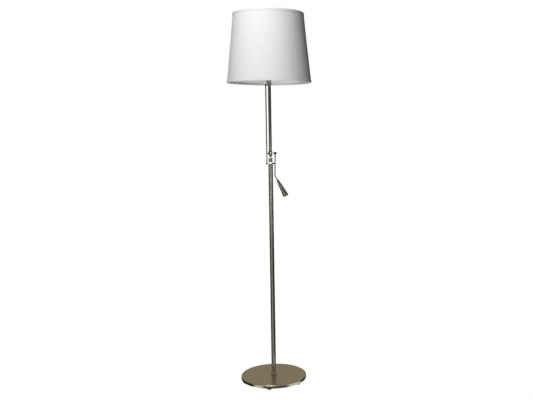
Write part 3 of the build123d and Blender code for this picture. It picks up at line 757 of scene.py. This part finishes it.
def make_lap_seam():
    bm = bmesh.new()
    half_turn = lap_width / 2 / bottom_radius
    angles = [pi / 2 - half_turn + 2 * half_turn * i / lap_steps for i in range(lap_steps + 1)]
    start_z = bottom_z + hem_height + lap_gap
    end_z = top_z - hem_height - lap_gap
    foot = cone_radius(start_z)
    dots = [bm.verts.new((foot * cos(a), foot * sin(a), start_z)) for a in angles]
    row = [bm.edges.new(pair) for pair in zip(dots, dots[1:])]
    for step in range(lap_rows):
        z = start_z + (end_z - start_z) * (step + 1) / lap_rows
        before = start_z + (end_z - start_z) * step / lap_rows
        made = bmesh.ops.extrude_edge_only(bm, edges=row)["geom"]
        lifted = [item for item in made if isinstance(item, bmesh.types.BMVert)]
        row = [item for item in made if isinstance(item, bmesh.types.BMEdge)]
        ratio = cone_radius(z) / cone_radius(before)
        bmesh.ops.scale(bm, vec=(ratio, ratio, 1), verts=lifted)
        bmesh.ops.translate(bm, vec=(0, 0, z - before), verts=lifted)
    bmesh.ops.recalc_face_normals(bm, faces=bm.faces)
    if bm.faces[0].normal.y < 0:
        bmesh.ops.reverse_faces(bm, faces=bm.faces)
    bmesh.ops.solidify(bm, geom=bm.faces, thickness=-lap_thickness)
    sort_by_place(bm.verts, lambda vert: vert.co)
    sort_by_place(bm.edges, lambda edge: (edge.verts[0].co + edge.verts[1].co) / 2)
    sort_by_place(bm.faces, lambda face: face.calc_center_median())
    return object_from("shade_lap_seam", bm)


lap_seam = make_lap_seam()
lay_uv_round(lap_seam)
finish_piece(lap_seam, shade_cloth_finish, "shade_cloth")

# %% [markdown]
# ## Finishes for the CAD pieces
#
# The CAD pieces keep their own shape and only get a material. Most of them follow their material
# slot. A few turned pieces need the version whose rings run round their own axis.

# %% Dress the CAD nodes
by_slot = {
    "satin_nickel": satin_nickel,
    "dark_nickel": dark_on_rod_pin,
    "bright_chrome": shaded_chrome_on_rod_pin,
    "zinc_steel": zinc_steel,
    "cast_iron": cast_iron,
    "black_rubber": black_rubber,
    "black_plastic": black_plastic,
    "white_plastic": white_plastic,
    "brass": brass,
    "white_wire": white_enamel,
    "shade_cloth": shade_cloth_finish,
    "hem_tape": hem_finish,
}
by_node = {
    "base_cover": spun_nickel,
    "lever_grip": nickel_on_grip,
    "lever_hub": dark_upright,
    "lever_wire": wire_nickel,
    "arm_pin": chrome_on_pin,
    "arm_pin_washer": chrome_on_pin,
    "arm_pin_cap": dark_on_pin,
    "arm_top_eye": nickel_on_pin,
}
for subpart in record["subparts"]:
    name = subpart["node"]
    slots = nodes[name].data.materials
    slots.clear()
    slots.append(by_node.get(name, by_slot[subpart["material_slot"]]))
print("dressed", len(record["subparts"]), "nodes")

# %% [markdown]
# ## The floor
#
# The lamp stands on a plain white floor with no horizon. To the camera the floor is simply white.
# To the metal it is dim, with a few lit patches in front of the lamp: a wide pool further out
# puts the bright band down the mast, and small patches close to the base put the glints on its
# rim. Each patch is a wedge that points one way from the lamp, and has soft sides. Everything
# else sees an ordinary grey floor. The choice is made by the Light Path node.

# %% Floor and its lit patches
floor_size = 30.0
near_reach, far_reach = 0.22, 0.36
white = (1, 1, 1, 1)

bm = bmesh.new()
bmesh.ops.create_grid(bm, x_segments=1, y_segments=1, size=floor_size)
floor = object_from("floor", bm)
floor_material, tree, shader = new_material("floor_white", (0.45, 0.45, 0.45), 0.9)
shader.inputs["Specular IOR Level"].default_value = 0.0
spot = put(tree, "ShaderNodeSeparateXYZ", i0=object_place(tree))
way = maths(tree, "ARCTAN2", spot.outputs["X"], maths(tree, "MULTIPLY", spot.outputs["Y"], -1.0))
reach = put(tree, "ShaderNodeVectorMath", {"operation": "LENGTH"}, i0=object_place(tree))
far = ramp(tree, reach.outputs["Value"], near_reach, far_reach)


def lit_wedge(turn, soft, wide):
    """1 in a wedge of the floor that points one way from the lamp, with soft sides."""
    off = maths(tree, "ABSOLUTE", maths(tree, "SUBTRACT", way, radians(turn)))
    return ramp(tree, off, radians(wide + soft), radians(wide))


pool = maths(tree, "MULTIPLY", lit_wedge(turn=-10, soft=24, wide=20), far)
left_glint = lit_wedge(turn=-28, soft=6, wide=7)
right_glint = lit_wedge(turn=50, soft=8, wide=12)
faint_middle = maths(tree, "MULTIPLY", lit_wedge(turn=10, soft=20, wide=10), 0.12)
near = maths(tree, "MAXIMUM", maths(tree, "MAXIMUM", left_glint, right_glint), faint_middle)
near = maths(tree, "MULTIPLY", near, maths(tree, "SUBTRACT", 1.0, far))
print("floor", floor_size, "m; lit patches start at", near_reach, "m")

# %% [markdown]
# ## Who sees which floor
#
# The patches only glow for reflections. They are kept out of the light sampling, so they add no
# light to the cloth.

# %% Floor finish
mirrored = mix_colour(tree, pool, (0.03, 0.03, 0.026, 1), (0.44, 0.43, 0.4, 1))
mirrored = mix_colour(tree, near, mirrored, (1.0, 0.98, 0.92, 1))
ray = put(tree, "ShaderNodeLightPath")
shown = mix_colour(tree, ray.outputs["Is Camera Ray"], mirrored, white)
# The floor glows: plain white to the camera, and the painted lit patches and glints to reflections.
floor_glow = put(tree, "ShaderNodeEmission", Color=shown, Strength=1.0)
direct = maths(tree, "MAXIMUM", ray.outputs["Is Camera Ray"], ray.outputs["Is Glossy Ray"])
seen = put(tree, "ShaderNodeMixShader", i0=direct, i1=shader.outputs[0], i2=floor_glow.outputs[0])
tree.links.new(seen.outputs[0], tree.nodes["Material Output"].inputs["Surface"])
floor_material.cycles.emission_sampling = "NONE"
floor.data.materials.append(floor_material)
print("floor finish", floor_material.name)

# %% [markdown]
# ## Lights
#
# One soft light in front, above and a little to the left does most of the work, which is why the
# shade is brightest left of its middle and falls off to the right. Two small cards stand low on
# either side of it for the metal. A light near the floor points up into the shade and lifts the
# liner, and a large one behind keeps the back of the shade from going black. Those two are kept
# out of reflections. A new light is hidden from the camera to begin with, and all of these stay
# so: a bright light in view behind the lamp would eat into its thin rods.


# %% Lights
def soft_light(name, azimuth, distance, height, aim_height, width, tall, power, reflected=True):
    """A rectangular soft light. Azimuth 0 is in front of the lamp, and positive is to the right."""
    data = bpy.data.lights.new(name, "AREA")
    data.shape = "RECTANGLE"
    data.size = width
    data.size_y = tall
    data.energy = power
    light = bpy.data.objects.new(name, data)
    bpy.context.scene.collection.objects.link(light)
    turn = radians(azimuth)
    light.location = (distance * sin(turn), -distance * cos(turn), height)
    aim = Vector((0, 0, aim_height)) - light.location
    light.rotation_mode = "QUATERNION"
    light.rotation_quaternion = aim.to_track_quat("-Z", "Y")
    light.visible_glossy = reflected
    print("light", name, power, "W")


soft_light("key", -15, 1.5, 2.7, aim_height=1.45, width=0.8, tall=0.8, power=45)
soft_light("left_card", -34, 1.3, 0.75, aim_height=0.0, width=0.3, tall=0.5, power=0.8)
soft_light("right_card", 42, 1.3, 0.75, aim_height=0.0, width=0.4, tall=0.5, power=0.9)
soft_light(
    "inside_fill", 0, 0.4, 0.12, aim_height=1.35, width=0.3, tall=0.3, power=8.0, reflected=False
)
soft_light(
    "back_fill", 178, 2.6, 1.9, aim_height=1.3, width=1.2, tall=1.2, power=26, reflected=False
)

# %% [markdown]
# ## The room
#
# The camera sees plain white behind the lamp. Reflections see a dim room, so that the tubes have
# dark edges, with warmer light above the horizon behind the lamp and at its sides. That is what
# the flat top of the base mirrors. In front the room stays dark.

# %% The room
world = bpy.data.worlds.new("room")
bpy.context.scene.world = world
world.use_nodes = True
tree = world.node_tree
ray = put(tree, "ShaderNodeLightPath")
sky = put(tree, "ShaderNodeTexCoord").outputs["Generated"]
direction = put(tree, "ShaderNodeSeparateXYZ", i0=sky)
above = ramp(tree, direction.outputs["Z"], 0.08, 0.2)
above = maths(tree, "MULTIPLY", above, ramp(tree, direction.outputs["Y"], -0.6, -0.2))
room = mix_colour(tree, above, (0.03, 0.029, 0.026, 1), (0.37, 0.325, 0.225, 1))
dim = mix_colour(tree, ray.outputs["Is Glossy Ray"], (0.018, 0.018, 0.014, 1), room)
seen = mix_colour(tree, ray.outputs["Is Camera Ray"], dim, white)
background = tree.nodes["Background"]
tree.links.new(seen, background.inputs["Color"])
background.inputs["Strength"].default_value = 1.0
view = bpy.context.scene.view_settings
view.view_transform = "Standard"
view.look = "None"
print("room", world.name, "shown with the", view.view_transform, "view")
